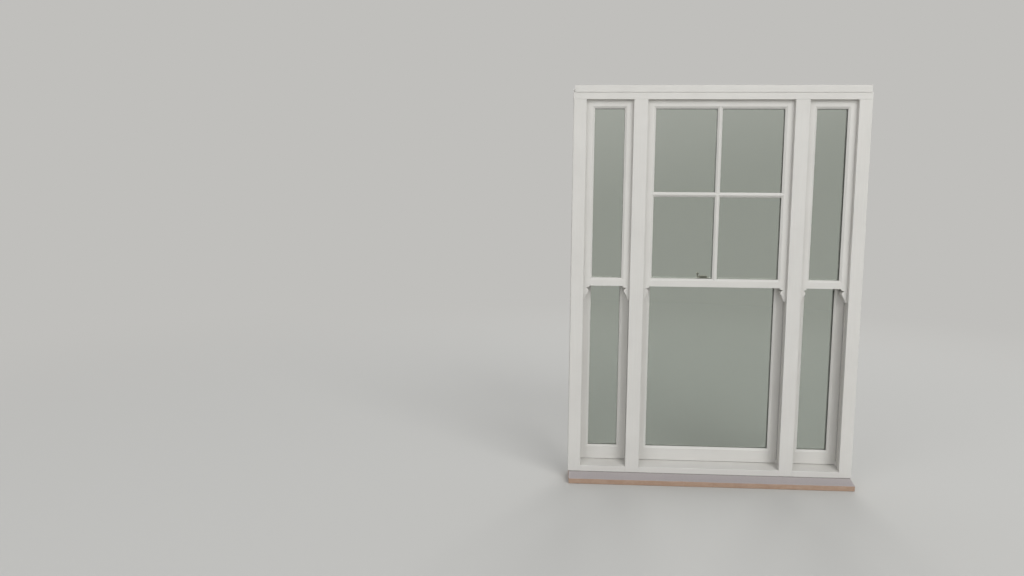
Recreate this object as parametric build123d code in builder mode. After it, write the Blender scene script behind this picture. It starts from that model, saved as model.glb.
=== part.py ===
# Three-light sliding sash window in painted timber, with its frame and its stone slip sill.
# Millimetres. +X runs to the right seen from outside, +Y runs from outside into the room, +Z is up.
# The origin is under the middle of the slip sill, halfway through the depth of the whole window.
# Every light has an upper sash in the outer track and a lower sash in the inner track.

import os
from math import cos, hypot, radians, sin, tan

from build123d import *

os.makedirs("parts", exist_ok=True)

# Timber frame, seen from outside
frame_width = 1513.0
frame_height = 2058.0
side_light_width = 243.5
mullion_face_width = 73.0
lining_width = 66.5
lining_thickness = 20.0
lining_overlap = 12.0
head_trim_height = 37.0
head_trim_proud = 3.0
head_trim_inset = 6.0
head_lining_height = 35.0
jamb_set_back = 8.0
butt_joint = 0.2
inner_lining_thickness = 20.0
arris = 1.0

# Sill and slip sill
sill_front_height = 30.0
sill_slope = 10.4
slip_height = 50.0
slip_front_height = 29.0
slip_projection = 64.0
slip_bearing_depth = 112.0
slip_end_inset = 4.0
slip_joint_height = 1.5
slip_joint_depth = 6.0
slip_throat_radius = 5.0
slip_throat_inset = 22.0
slip_edge_radius = 4.0

# Tracks and their beads
sash_face_gap = 1.5
sash_edge_gap = 2.0
sash_seat_gap = 0.3
sash_head_gap = 0.5
parting_bead_thickness = 8.0
parting_bead_projection = 10.0
parting_groove_depth = 8.0
staff_bead_thickness = 16.0
staff_bead_projection = 14.0
staff_bead_radius = 8.0
pile_width = 5.0
pile_gap = 0.3

# Sash joinery
sash_thickness = 45.0
stile_width = 53.5
top_rail_height = 55.5
meeting_rail_height = 44.0
meeting_rail_drop = 1000.0
bottom_rail_height = 80.0
bar_width = 25.0
bar_nose = 5.0
bar_rebate = 8.0
splay_width = 11.0
splay_depth = 7.5
lip_depth = 10.0
rebate_width = 15.0
tenon_thickness = 14.0
tenon_length = 16.0
tenon_shoulder = 6.0
tenon_setback = 2.0
drip_depth = 5.0
drip_height = 3.0
meeting_bevel = 4.0
meeting_gap = 0.7
meeting_lip_gap = 2.0
meeting_feather = 0.6

# Horns under the stiles of the upper sashes, measured from the edge of the stile
horn_length = 73.0
horn_step = 6.0
horn_quirk_depth = 20.0
horn_quirk_level = 13.0
horn_bulb = 5.0
horn_bulb_level = 24.0
horn_waist = 9.0
horn_tip = 25.0
horn_bow = 1.5

# Sealed glass units and the beads that hold them from inside
pane_thickness = 4.0
cavity_depth = 12.0
unit_gap = 0.3
unit_edge_gap = 2.0
sealant = 0.1
spacer_inset = 1.0
spacer_width = 5.0
glazing_chamfer = 6.0

# Spiral balances
upper_tube_gap = 14.0
lower_tube_gap = 73.5
tube_radius = 8.0
tube_gap = 0.3
tube_end_gap = 25.0
tube_groove_width = 18.0
tube_groove_depth = 18.0
rod_width = 6.0
rod_thickness = 1.6
rod_engagement = 30.0
foot_gap = 15.0
foot_height = 30.0
foot_width = 14.0
foot_thickness = 2.0
foot_rise = 10.0
rod_clearance = 0.1

# Sash fastener on the centre meeting rails
fastener_x = -53.0
fastener_inset = 1.5
fastener_base_length = 54.0
fastener_base_width = 17.0
fastener_base_thickness = 3.0
boss_radius = 8.0
boss_height = 3.0
pivot_radius = 3.0
pivot_clearance = 0.05
pivot_head_radius = 5.0
pivot_head_height = 2.0
lever_gap = 0.3
lever_hub_height = 6.0
lever_arm_thickness = 5.0
lever_nose_reach = 25.0
lever_nose_width = 12.0
lever_handle_reach = 26.0
lever_handle_width = 9.0
knob_radius = 6.5
knob_neck_radius = 3.0
knob_height = 18.0
knob_neck_height = 4.0
knob_rim_height = 10.0
knob_bevel = 2.5
keeper_length = 60.0
keeper_hook_length = 36.0
keeper_width = 17.0
keeper_inset = 1.5
keeper_thickness = 3.0
keeper_lip_gap = 0.8
keeper_lip_thickness = 2.5
keeper_lip_reach = 10.0

# Hook lifts on the bottom rail of the centre lower sash
lift_offset = 190.0
lift_margin = 2.0
lift_plate_width = 44.0
lift_plate_height = 36.0
lift_plate_thickness = 3.0
lift_corner_radius = 5.0
lift_hook_width = 32.0
lift_hook_reach = 19.0
lift_hook_thickness = 3.5
lift_hook_low = -10.0
lift_hook_high = 5.0
lift_hook_radius = 7.0

# Planes through the depth of the window
track_depth = sash_thickness + 2 * sash_face_gap
frame_depth = (lining_thickness + 2 * track_depth + parting_bead_thickness
               + inner_lining_thickness)
face_y = (slip_projection - frame_depth) / 2
outer_track_y = face_y + lining_thickness
upper_sash_y = outer_track_y + sash_face_gap
parting_y = outer_track_y + track_depth
inner_track_y = parting_y + parting_bead_thickness
lower_sash_y = inner_track_y + sash_face_gap
staff_y = inner_track_y + track_depth
back_y = staff_y + inner_lining_thickness

# Levels, from the underside of the slip sill
frame_bottom_z = slip_height
frame_top_z = frame_bottom_z + frame_height
head_lining_z = frame_top_z - head_trim_height - head_lining_height
soffit_z = head_lining_z + lining_overlap
meeting_top_z = frame_top_z - meeting_rail_drop
meeting_bottom_z = meeting_top_z - meeting_rail_height
sash_top_z = soffit_z - sash_head_gap
upper_sight_z = sash_top_z - top_rail_height


def sill_level(y):
    """Height of the sloping top of the sill at a depth y."""
    return frame_bottom_z + sill_front_height + (y - face_y) * tan(radians(sill_slope))


sill_flat_z = sill_level(staff_y)
lower_sash_bottom_z = sill_level(lower_sash_y) + sash_seat_gap
lower_sight_z = lower_sash_bottom_z + bottom_rail_height

# Widths, from the middle of the window or of a light
half_width = frame_width / 2
centre_light_width = (frame_width - 2 * lining_width - 2 * side_light_width
                      - 2 * mullion_face_width)
mullion_x = (centre_light_width + mullion_face_width) / 2
side_light_x = half_width - lining_width - side_light_width / 2
jamb_inner_x = half_width - lining_width + lining_overlap
mullion_width = mullion_face_width - 2 * lining_overlap
light_x = {"left": -side_light_x, "centre": 0.0, "right": side_light_x}
light_width = {"left": side_light_width, "centre": centre_light_width, "right": side_light_width}

# Sash sections that several pieces share
stile_flat = stile_width - splay_width
unit_thickness = 2 * pane_thickness + cavity_depth
unit_back = lip_depth + unit_thickness + 2 * unit_gap
bead_thickness = sash_thickness - unit_back
sash_spacing = lower_sash_y - upper_sash_y - sash_thickness
bevel_bottom = sash_thickness + sash_spacing - meeting_feather - meeting_gap
bevel_top = bevel_bottom - meeting_bevel


def track_half(light):
    """Half the clear width between the jambs or mullions of a light."""
    return light_width[light] / 2 + lining_overlap


def sash_half(light):
    """Half the width of a sash."""
    return track_half(light) - sash_edge_gap


def sight_half(light):
    """Half the width of glass that shows in a sash."""
    return sash_half(light) - stile_width


def keep(piece, label):
    """Name a finished piece and write it."""
    piece.part.label = label
    export_step(piece.part, "parts/" + label + ".step")


def block(x_range, y_range, z_range, mode=Mode.ADD):
    """A rectangular block between three pairs of limits."""
    middle = ((x_range[0] + x_range[1]) / 2, (y_range[0] + y_range[1]) / 2, (z_range[0] + z_range[1]) / 2)
    with Locations(middle):
        Box(x_range[1] - x_range[0], y_range[1] - y_range[0], z_range[1] - z_range[0], mode=mode)


def both_sides(centre):
    """Copy what has been made to the other side of a light or of the window."""
    mirror(about=Plane.YZ.offset(centre))


# The slip sill is one stone: a flat bed under the frame, a weathered top and a throat under its nose.
slip_front_y = face_y - slip_projection
slip_back_y = face_y + slip_bearing_depth
with BuildPart() as slip_sill:
    with BuildSketch(Plane.YZ):
        with BuildLine():
            Polyline(
                (slip_front_y, 0),
                (slip_front_y, slip_front_height),
                (face_y + slip_joint_depth, slip_height - slip_joint_height),
                (face_y + slip_joint_depth, slip_height),
                (slip_back_y, slip_height),
                (slip_back_y, 0),
                close=True,
            )
        make_face()
        with Locations((slip_front_y + slip_throat_inset, 0)):
            Circle(slip_throat_radius, mode=Mode.SUBTRACT)
    extrude(amount=half_width - slip_end_inset, both=True)
    nose = slip_sill.edges().filter_by(Axis.X).group_by(Axis.Y)[0]
    fillet(nose, slip_edge_radius)
keep(slip_sill, "slip_sill")

# The timber sill slopes outwards under the sashes and is flat under the inner linings. It is
# notched round the outer linings and the mullion facings, which run down to its underside.
with BuildPart() as sill:
    with BuildSketch(Plane.YZ):
        with BuildLine():
            Polyline(
                (face_y, frame_bottom_z),
                (face_y, frame_bottom_z + sill_front_height),
                (staff_y, sill_flat_z),
                (back_y, sill_flat_z),
                (back_y, frame_bottom_z),
                close=True,
            )
        make_face()
    extrude(amount=half_width - jamb_set_back, both=True)
    nosing = sill.edges().filter_by(Axis.X).group_by(Axis.Y)[0].sort_by(Axis.Z)[-1]
    fillet(nosing, 2 * arris)
    notch_z = (frame_bottom_z, sill_flat_z)
    notch_y = (face_y, outer_track_y)
    for side in (-1, 1):
        lining_x = sorted((side * half_width, side * (half_width - lining_width)))
        block(lining_x, notch_y, notch_z, mode=Mode.SUBTRACT)
        facing_x = (side * mullion_x - mullion_face_width / 2, side * mullion_x + mullion_face_width / 2)
        block(facing_x, notch_y, notch_z, mode=Mode.SUBTRACT)
keep(sill, "sill")


def parting_groove(centre, reach):
    """Grooves for the parting beads in whatever stands at both sides of a light."""
    for side in (-1, 1):
        groove_x = sorted((centre + side * reach, centre + side * (reach + parting_groove_depth)))
        block(groove_x, (parting_y, inner_track_y), (frame_bottom_z, soffit_z), mode=Mode.SUBTRACT)


def balance_levels(row):
    """Foot, tube bottom, rod top and tube top of the balances of the upper or lower sashes.

    An upper sash falls from where it is drawn until its rods are almost out of their tubes. A lower
    sash rises until its rods have gone all the way in, so its tubes start one travel higher.
    """
    spare = tube_end_gap + rod_engagement + foot_gap
    if row == "upper":
        foot = meeting_bottom_z + foot_rise
        tube_top = soffit_z - upper_tube_gap
        return foot, foot + foot_gap, tube_top - tube_end_gap, tube_top
    foot = lower_sash_bottom_z + foot_rise
    tube_top = soffit_z - lower_tube_gap
    lower_travel = (tube_top - foot - spare) / 2
    tube_bottom = foot + foot_gap + lower_travel
    return foot, tube_bottom, tube_bottom + rod_engagement, tube_top


rows = ("upper", "lower")
sash_y = {"upper": upper_sash_y, "lower": lower_sash_y}
lights = ("left", "centre", "right")


# The head runs the full width over the jambs and mullions, grooved for the parting beads.
with BuildPart() as head:
    block((jamb_set_back - half_width, half_width - jamb_set_back), (outer_track_y, staff_y), (soffit_z, frame_top_z))
    for light in lights:
        groove_x = (light_x[light] - track_half(light), light_x[light] + track_half(light))
        groove_z = (soffit_z, soffit_z + parting_groove_depth)
        block(groove_x, (parting_y, inner_track_y), groove_z, mode=Mode.SUBTRACT)
keep(head, "head")

# The jambs stand on the sill and carry the balances of the side lights.
for side, name in ((-1, "left"), (1, "right")):
    with BuildPart() as jamb:
        jamb_x = sorted((side * jamb_inner_x, side * (half_width - jamb_set_back)))
        block(jamb_x, (outer_track_y, staff_y), (frame_bottom_z, soffit_z))
        add(sill.part, mode=Mode.SUBTRACT)
        parting_groove(light_x[name], track_half(name))
    keep(jamb, name + "_jamb")

# Each mullion stands between two lights and takes the balances of both.
for side, name in ((-1, "left"), (1, "right")):
    with BuildPart() as mullion:
        mullion_range = (side * mullion_x - mullion_width / 2, side * mullion_x + mullion_width / 2)
        block(mullion_range, (outer_track_y, staff_y), (frame_bottom_z, soffit_z))
        add(sill.part, mode=Mode.SUBTRACT)
        for light in (name, "centre"):
            parting_groove(light_x[light], track_half(light))
    keep(mullion, name + "_mullion")

# Outside, a trim board lies along the top of the head, a little proud of the lining under it.
with BuildPart() as head_trim:
    trim_x = half_width - head_trim_inset
    trim_z = (frame_top_z - head_trim_height, frame_top_z)
    block((-trim_x, trim_x), (face_y - head_trim_proud, outer_track_y), trim_z)
    front = head_trim.faces().sort_by(Axis.Y)[0]
    chamfer(front.edges(), arris)
keep(head_trim, "head_trim")

with BuildPart() as outer_head_lining:
    lining_z = (head_lining_z, head_lining_z + head_lining_height)
    block((-half_width, half_width), (face_y, outer_track_y), lining_z)
    front = outer_head_lining.faces().sort_by(Axis.Y)[0]
    chamfer(front.edges().filter_by(Axis.X).sort_by(Axis.Z)[0], arris)
keep(outer_head_lining, "outer_head_lining")

# The outer side linings and the mullion facings overlap the upper sashes and hold them in.
with BuildPart() as outer_side_linings:
    block((half_width - lining_width, half_width), (face_y, outer_track_y), (frame_bottom_z, head_lining_z))
    front = outer_side_linings.faces().sort_by(Axis.Y)[0]
    chamfer(front.edges().filter_by(Axis.Z), arris)
    both_sides(0)
keep(outer_side_linings, "outer_side_linings")

with BuildPart() as outer_mullion_facings:
    facing_x = (mullion_x - mullion_face_width / 2, mullion_x + mullion_face_width / 2)
    block(facing_x, (face_y, outer_track_y), (frame_bottom_z, head_lining_z))
    front = outer_mullion_facings.faces().sort_by(Axis.Y)[0]
    chamfer(front.edges().filter_by(Axis.Z), arris)
    both_sides(0)
keep(outer_mullion_facings, "outer_mullion_facings")

# Inside, flat linings finish flush with the jambs, the mullions and the underside of the head.
with BuildPart() as inner_linings:
    block((-half_width, half_width), (staff_y, back_y), (soffit_z, frame_top_z))
    for side in (-1, 1):
        lining_x = sorted((side * jamb_inner_x, side * half_width))
        block(lining_x, (staff_y, back_y), (sill_flat_z, soffit_z - butt_joint))
keep(inner_linings, "inner_linings")

with BuildPart() as inner_mullion_facings:
    facing_x = (mullion_x - mullion_width / 2, mullion_x + mullion_width / 2)
    block(facing_x, (staff_y, back_y), (sill_flat_z, soffit_z - butt_joint))
    both_sides(0)
keep(inner_mullion_facings, "inner_mullion_facings")

# The parting beads sit in the grooves and keep the two tracks of each light apart.
with BuildPart() as parting_beads:
    for light in lights:
        centre = light_x[light]
        inner = track_half(light) - parting_bead_projection
        outer = track_half(light) + parting_groove_depth
        bead_y = (parting_y, inner_track_y)
        head_bead_x = (centre - inner + butt_joint, centre + inner - butt_joint)
        head_bead_z = (soffit_z - parting_bead_projection, soffit_z + parting_groove_depth)
        block(head_bead_x, bead_y, head_bead_z)
        for side in (-1, 1):
            bead_x = sorted((centre + side * inner, centre + side * outer))
            block(bead_x, bead_y, (frame_bottom_z, soffit_z))
    add(sill.part, mode=Mode.SUBTRACT)
keep(parting_beads, "parting_beads")


def edging(section, x_range, y, z_range, widths):
    """Strips round a rectangle: those at top and bottom run through, the sides stand between them."""
    left, right, bottom, top = widths
    low_z = z_range[0] + bottom + butt_joint
    high_z = z_range[1] - top - butt_joint
    length = x_range[1] - x_range[0]
    strips = (
        (left, (x_range[0], y, low_z), (1, 0, 0), (0, 0, 1), high_z - low_z),
        (right, (x_range[1], y, high_z), (-1, 0, 0), (0, 0, -1), high_z - low_z),
        (bottom, (x_range[1], y, z_range[0]), (0, 0, 1), (-1, 0, 0), length),
        (top, (x_range[0], y, z_range[1]), (0, 0, -1), (1, 0, 0), length),
    )
    for width, start, outward, along, run in strips:
        if width > 0:
            with BuildSketch(Plane(start, x_dir=outward, z_dir=along)) as strip:
                section(width)
            extrude(strip.sketch, amount=run)


def staff_section(width):
    """Staff bead in section: the corner towards the light on the room side is rounded."""
    with BuildLine() as outline:
        Polyline((0, staff_bead_thickness), (0, 0), (width, 0), (width, staff_bead_thickness - staff_bead_radius))
        RadiusArc(
            (width, staff_bead_thickness - staff_bead_radius),
            (width - staff_bead_radius, staff_bead_thickness),
            -staff_bead_radius,
        )
        Line((width - staff_bead_radius, staff_bead_thickness), (0, staff_bead_thickness))
    make_face(outline.edges())


# The staff beads hold the lower sashes in from the room side, four to each light.
with BuildPart() as staff_beads:
    for light in lights:
        bead_x = (light_x[light] - track_half(light), light_x[light] + track_half(light))
        edging(staff_section, bead_x, staff_y, (sill_flat_z, soffit_z), 4 * (staff_bead_projection,))
keep(staff_beads, "staff_beads")

# Brush pile runs along the beads on the faces that the sashes slide past.
pile_depth = sash_face_gap - pile_gap
with BuildPart() as pile_seals:
    for light in lights:
        centre = light_x[light]
        reach = track_half(light)
        low_z = sill_flat_z + staff_bead_projection
        high_z = soffit_z - staff_bead_projection
        parting_edge = reach - parting_bead_projection
        staff_edge = reach - staff_bead_projection
        for side in (-1, 1):
            parting_x = sorted((centre + side * parting_edge, centre + side * (parting_edge + pile_width)))
            staff_x = sorted((centre + side * staff_edge, centre + side * (staff_edge + pile_width)))
            block(parting_x, (parting_y - pile_depth, parting_y), (low_z, high_z))
            block(parting_x, (inner_track_y, inner_track_y + pile_depth), (low_z, high_z))
            block(staff_x, (staff_y - pile_depth, staff_y), (low_z, high_z))
keep(pile_seals, "pile_seals")

# Each balance tube is fixed in a track beside its sash. The spring that fills it is drawn solid, down
# to the bore that the rod runs in.
tube_offset = tube_gap + tube_radius


def tube_places(centre, reach, row):
    """Axis of the balance tube at each side of one sash, and the side it stands at."""
    y = sash_y[row] + sash_thickness / 2
    for side in (-1, 1):
        yield side, centre + side * (reach - tube_offset), y


with BuildPart() as balance_tubes:
    for light in lights:
        for row in rows:
            foot, tube_bottom, rod_top, tube_top = balance_levels(row)
            for side, x, y in tube_places(light_x[light], track_half(light), row):
                with BuildSketch(Plane((x, y, tube_bottom))):
                    Circle(tube_radius)
                    Circle(hypot(rod_width, rod_thickness) / 2 + rod_clearance, mode=Mode.SUBTRACT)
                extrude(amount=tube_top - tube_bottom)
keep(balance_tubes, "balance_tubes")


def tenons(light, row, low_z, high_z, mode):
    """Stub tenons of a rail between two levels, or the mortices for them in the stiles."""
    start = sight_half(light) + rebate_width
    front_y = sash_y[row] + lip_depth + tenon_setback
    tenon_y = (front_y, front_y + tenon_thickness)
    for side in (-1, 1):
        tenon_x = sorted((light_x[light] + side * start, light_x[light] + side * (start + tenon_length)))
        block(tenon_x, tenon_y, (low_z, high_z), mode=mode)


# Levels of the tenons of each rail, clear of its glazing rebate
top_tenon = (upper_sight_z + rebate_width + tenon_shoulder, sash_top_z - tenon_shoulder)
upper_meeting_tenon = (meeting_bottom_z + tenon_shoulder, meeting_top_z - rebate_width - tenon_shoulder)
lower_meeting_tenon = (meeting_bottom_z + rebate_width + tenon_shoulder, meeting_top_z - tenon_shoulder)
bottom_tenon = (lower_sash_bottom_z + 3 * tenon_shoulder, lower_sight_z - rebate_width - tenon_shoulder)
seat_plane = Plane(
    (0, face_y, sill_level(face_y) + sash_seat_gap),
    x_dir=(1, 0, 0),
    z_dir=(0, -sin(radians(sill_slope)), cos(radians(sill_slope))),
)


def stile_section(light):
    """Right-hand stile in plan: flat face, splayed edge, lip, glazing rebate and balance groove."""
    edge = sash_half(light)
    sight = sight_half(light)
    with BuildLine() as outline:
        Polyline(
            (edge, 0),
            (edge - stile_flat, 0),
            (sight, splay_depth),
            (sight, lip_depth),
            (sight + rebate_width, lip_depth),
            (sight + rebate_width, sash_thickness),
            (edge, sash_thickness),
            close=True,
        )
    make_face(outline.edges())


def horn_outline(light):
    """Right-hand horn in front view, under the end of the stile: lip, quirk, bulb and long sweep."""
    edge = sash_half(light)
    start = edge - stile_flat
    with BuildLine() as outline:
        Line((start, 0), (start, -horn_step))
        quirk_end = (start + horn_quirk_depth, -horn_quirk_level)
        Line((start, -horn_step), quirk_end)
        bulb_side = (start + horn_bulb, -horn_bulb_level)
        bulb_end = (start + horn_waist, -horn_length / 2)
        ThreePointArc(quirk_end, bulb_side, bulb_end)
        tip = (start + horn_tip, -horn_length)
        middle = ((bulb_end[0] + tip[0]) / 2 + horn_bow, (bulb_end[1] + tip[1]) / 2 + horn_bow / 2)
        ThreePointArc(bulb_end, middle, tip)
        Polyline(tip, (edge, -horn_length), (edge, 0), (start, 0))
    make_face(outline.edges())


def balance_groove(light, row, low_z, high_z):
    """Groove in the outer edge of the right-hand stile, which the balance tube lies in."""
    edge = light_x[light] + sash_half(light)
    middle = sash_y[row] + sash_thickness / 2
    groove_y = (middle - tube_groove_width / 2, middle + tube_groove_width / 2)
    block((edge - tube_groove_depth, edge), groove_y, (low_z, high_z), mode=Mode.SUBTRACT)


def upper_stiles(light):
    """Both stiles of an upper sash, each with its horn."""
    centre = light_x[light]
    with BuildPart() as stiles:
        with BuildSketch(Plane((centre, upper_sash_y, meeting_bottom_z))):
            stile_section(light)
        extrude(amount=sash_top_z - meeting_bottom_z)
        front = Plane((centre, upper_sash_y, meeting_bottom_z), x_dir=(1, 0, 0), z_dir=(0, -1, 0))
        with BuildSketch(front):
            horn_outline(light)
        extrude(amount=-sash_thickness)
        balance_groove(light, "upper", meeting_bottom_z - horn_length, sash_top_z)
        both_sides(centre)
        tenons(light, "upper", *top_tenon, mode=Mode.SUBTRACT)
        tenons(light, "upper", *upper_meeting_tenon, mode=Mode.SUBTRACT)
    return stiles


def lower_stiles(light):
    """Both stiles of a lower sash, cut to the slope of the sill at the bottom."""
    centre = light_x[light]
    with BuildPart() as stiles:
        with BuildSketch(Plane((centre, lower_sash_y, frame_bottom_z))):
            stile_section(light)
        extrude(amount=meeting_top_z - frame_bottom_z)
        balance_groove(light, "lower", frame_bottom_z, meeting_top_z)
        edge = centre + sash_half(light)
        drip_z = (frame_bottom_z, lower_sash_bottom_z + drip_height)
        block((edge - stile_width, edge), (lower_sash_y, lower_sash_y + drip_depth), drip_z, mode=Mode.SUBTRACT)
        split(bisect_by=seat_plane, keep=Keep.TOP)
        both_sides(centre)
        tenons(light, "lower", *lower_meeting_tenon, mode=Mode.SUBTRACT)
        tenons(light, "lower", *bottom_tenon, mode=Mode.SUBTRACT)
    return stiles


def rail_section(plane, points, half_length):
    """A rail with the section given by points in depth and height, made across a sash."""
    with BuildSketch(plane) as section:
        with BuildLine():
            Polyline(*points, close=True)
        make_face()
    extrude(section.sketch, amount=half_length, both=True)


def upper_top_rail(light, stiles):
    """Top rail of an upper sash, its ends scribed over the splay of the stiles."""
    with BuildPart() as rail:
        points = (
            (0, top_rail_height),
            (0, splay_width),
            (splay_depth, 0),
            (lip_depth, 0),
            (lip_depth, rebate_width),
            (sash_thickness, rebate_width),
            (sash_thickness, top_rail_height),
        )
        plane = Plane((light_x[light], upper_sash_y, upper_sight_z), x_dir=(0, 1, 0), z_dir=(1, 0, 0))
        rail_section(plane, points, sight_half(light) + rebate_width)
        add(stiles.part, mode=Mode.SUBTRACT)
        tenons(light, "upper", *top_tenon, mode=Mode.ADD)
    return rail


def upper_meeting_rail(light, stiles):
    """Meeting rail of an upper sash: glazed in a groove, bevelled where it meets the lower sash."""
    height = meeting_rail_height
    with BuildPart() as rail:
        points = (
            (0, -height),
            (0, -splay_width),
            (splay_depth, 0),
            (lip_depth, 0),
            (lip_depth, -rebate_width),
            (unit_back, -rebate_width),
            (unit_back, 0),
            (sash_thickness, 0),
            (sash_thickness, -height),
        )
        plane = Plane((light_x[light], upper_sash_y, meeting_top_z), x_dir=(0, 1, 0), z_dir=(1, 0, 0))
        rail_section(plane, points, sight_half(light) + rebate_width)
        add(stiles.part, mode=Mode.SUBTRACT)
        lip = ((sash_thickness, -height), (sash_thickness, 0), (bevel_top, 0), (bevel_bottom, -height))
        lip_half = track_half(light) - parting_bead_projection - meeting_lip_gap
        rail_section(plane, lip, lip_half)
        tenons(light, "upper", *upper_meeting_tenon, mode=Mode.ADD)
    return rail


def lower_meeting_rail(light, stiles):
    """Meeting rail of a lower sash: its bevel hangs over the one of the upper sash."""
    height = meeting_rail_height
    bevel_shift = sash_thickness + sash_spacing - meeting_gap
    top_y = bevel_top - bevel_shift
    splay_y = top_y + meeting_bevel * (height - splay_width) / height
    with BuildPart() as rail:
        points = (
            (0, 0),
            (0, splay_width - height),
            (splay_depth, -height),
            (lip_depth, -height),
            (lip_depth, rebate_width - height),
            (sash_thickness, rebate_width - height),
            (sash_thickness, 0),
        )
        plane = Plane((light_x[light], lower_sash_y, meeting_top_z), x_dir=(0, 1, 0), z_dir=(1, 0, 0))
        rail_section(plane, points, sight_half(light) + rebate_width)
        add(stiles.part, mode=Mode.SUBTRACT)
        lip = ((0, 0), (top_y, 0), (splay_y, splay_width - height), (0, splay_width - height))
        lip_half = track_half(light) - parting_bead_projection - meeting_lip_gap
        rail_section(plane, lip, lip_half)
        tenons(light, "lower", *lower_meeting_tenon, mode=Mode.ADD)
    return rail


def lower_bottom_rail(light, stiles):
    """Bottom rail of a lower sash: deep, sloped to the sill and undercut along its front edge."""
    height = bottom_rail_height
    rise = tan(radians(sill_slope))
    with BuildPart() as rail:
        points = (
            (0, drip_height - height),
            (0, -splay_width),
            (splay_depth, 0),
            (lip_depth, 0),
            (lip_depth, -rebate_width),
            (sash_thickness, -rebate_width),
            (sash_thickness, sash_thickness * rise - height),
            (drip_depth, drip_depth * rise - height),
            (drip_depth, drip_height - height),
        )
        plane = Plane((light_x[light], lower_sash_y, lower_sight_z), x_dir=(0, 1, 0), z_dir=(1, 0, 0))
        rail_section(plane, points, sight_half(light) + rebate_width)
        add(stiles.part, mode=Mode.SUBTRACT)
        tenons(light, "lower", *bottom_tenon, mode=Mode.ADD)
    return rail


def bar_section():
    """Glazing bar: a narrow nose outside, splayed to the glass, and a tongue between the panes."""
    half = bar_width / 2
    tongue = half - bar_rebate
    with BuildLine() as outline:
        Polyline(
            (-bar_nose / 2, 0),
            (-half, splay_depth),
            (-half, lip_depth),
            (-tongue, lip_depth),
            (-tongue, sash_thickness),
            (tongue, sash_thickness),
            (tongue, lip_depth),
            (half, lip_depth),
            (half, splay_depth),
            (bar_nose / 2, 0),
            close=True,
        )
    make_face(outline.edges())


def glass_unit(x_range, y, z_range):
    """One sealed unit: two panes with a spacer frame between their edges."""
    for pane_y in (y, y + pane_thickness + cavity_depth):
        block(x_range, (pane_y, pane_y + pane_thickness), z_range)
    middle = ((x_range[0] + x_range[1]) / 2, y + pane_thickness + sealant, (z_range[0] + z_range[1]) / 2)
    width = x_range[1] - x_range[0] - 2 * spacer_inset
    height = z_range[1] - z_range[0] - 2 * spacer_inset
    with BuildSketch(Plane(middle, x_dir=(1, 0, 0), z_dir=(0, 1, 0))) as spacer:
        Rectangle(width, height)
        Rectangle(width - 2 * spacer_width, height - 2 * spacer_width, mode=Mode.SUBTRACT)
    extrude(spacer.sketch, amount=cavity_depth - 2 * sealant)


def bead_section(width):
    """Glazing bead in section: the corner beside the glass on the room side is chamfered."""
    with BuildLine() as outline:
        Polyline(
            (0, 0),
            (width, 0),
            (width, bead_thickness - glazing_chamfer),
            (width - glazing_chamfer, bead_thickness),
            (0, bead_thickness),
            close=True,
        )
    make_face(outline.edges())


bar_tongue = bar_width / 2 - bar_rebate
bar_z = (meeting_top_z + upper_sight_z) / 2


def upper_openings(light):
    """Walls of the glazing rebates of an upper sash, its lowest bead and the bead widths."""
    centre = light_x[light]
    wall = sight_half(light) + rebate_width
    low = meeting_top_z - rebate_width
    high = upper_sight_z + rebate_width
    if light == "centre":
        for side in (-1, 1):
            pane_x = sorted((side * bar_tongue, side * wall))
            widths = (rebate_width, bar_rebate) if side < 0 else (bar_rebate, rebate_width)
            yield pane_x, (low, bar_z - bar_tongue), meeting_top_z, (*widths, 0, bar_rebate)
            upper_low = bar_z + bar_tongue
            yield pane_x, (upper_low, high), upper_low, (*widths, bar_rebate, rebate_width)
    else:
        widths = (rebate_width, rebate_width, 0, rebate_width)
        yield (centre - wall, centre + wall), (low, high), meeting_top_z, widths


def lower_openings(light):
    """The same for the single opening of a lower sash, which has a bead on every side."""
    centre = light_x[light]
    wall = sight_half(light) + rebate_width
    low = lower_sight_z - rebate_width
    yield (centre - wall, centre + wall), (low, meeting_bottom_z + rebate_width), low, 4 * (rebate_width,)


def glazing(openings, y, prefix):
    """Sealed units in the rebates of a sash, and the beads behind them."""
    with BuildPart() as glass:
        for pane_x, pane_z, bead_low, widths in openings:
            unit_x = (pane_x[0] + unit_edge_gap, pane_x[1] - unit_edge_gap)
            unit_z = (pane_z[0] + unit_edge_gap, pane_z[1] - unit_edge_gap)
            glass_unit(unit_x, y + lip_depth + unit_gap, unit_z)
    keep(glass, prefix + "_glass")
    with BuildPart() as beads:
        for pane_x, pane_z, bead_low, widths in openings:
            edging(bead_section, pane_x, y + unit_back, (bead_low, pane_z[1]), widths)
    keep(beads, prefix + "_glazing_beads")


def balance_rods(light, row):
    """Rods of the two balances of a sash, flat strips drawn without their twist.

    Each stands on a foot that is screwed to the wall of the groove in the stile.
    """
    foot, tube_bottom, rod_top, tube_top = balance_levels(row)
    groove_x = sash_half(light) - tube_groove_depth
    with BuildPart() as rods:
        for side, x, y in tube_places(light_x[light], track_half(light), row):
            with BuildSketch(Plane((x, y, foot))):
                Rectangle(rod_thickness, rod_width)
            extrude(amount=rod_top - foot)
            wall_x = light_x[light] + side * groove_x
            foot_y = (y - foot_width / 2, y + foot_width / 2)
            plate_x = sorted((wall_x, wall_x + side * foot_thickness))
            block(plate_x, foot_y, (foot - foot_thickness, foot - foot_thickness + foot_height))
            block(sorted((wall_x, x + side * rod_width / 2)), foot_y, (foot - foot_thickness, foot))
    return rods


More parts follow.
